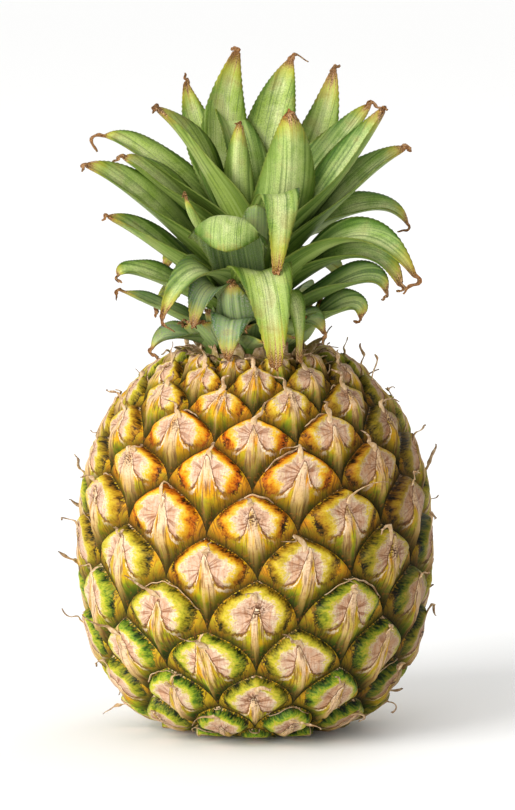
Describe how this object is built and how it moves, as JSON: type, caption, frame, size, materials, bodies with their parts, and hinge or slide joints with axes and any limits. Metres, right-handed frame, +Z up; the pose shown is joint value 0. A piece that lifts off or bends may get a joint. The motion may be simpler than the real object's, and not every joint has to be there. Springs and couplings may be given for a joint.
{
  "type": "pineapple",
  "caption": "Whole ripe pineapple with eyes in level whorls, dry bract tips and a leafy crown, standing upright on its cut stalk.",
  "frame": {"origin": "middle of the cut face of the stalk, on the surface that the fruit stands on", "axes": "+Z up along the fruit's axis to the crown, -Y towards the front of the picture, +X to its right"},
  "size_m": [0.1419, 0.1432, 0.2532],
  "materials": {
    "rind": "satin",
    "leaf": "satin",
    "stalk": "matte"
  },
  "bodies": {
    "root": {"fruit": "rind", "crown": "leaf", "stalk": "stalk"}
  },
  "joints": []
}
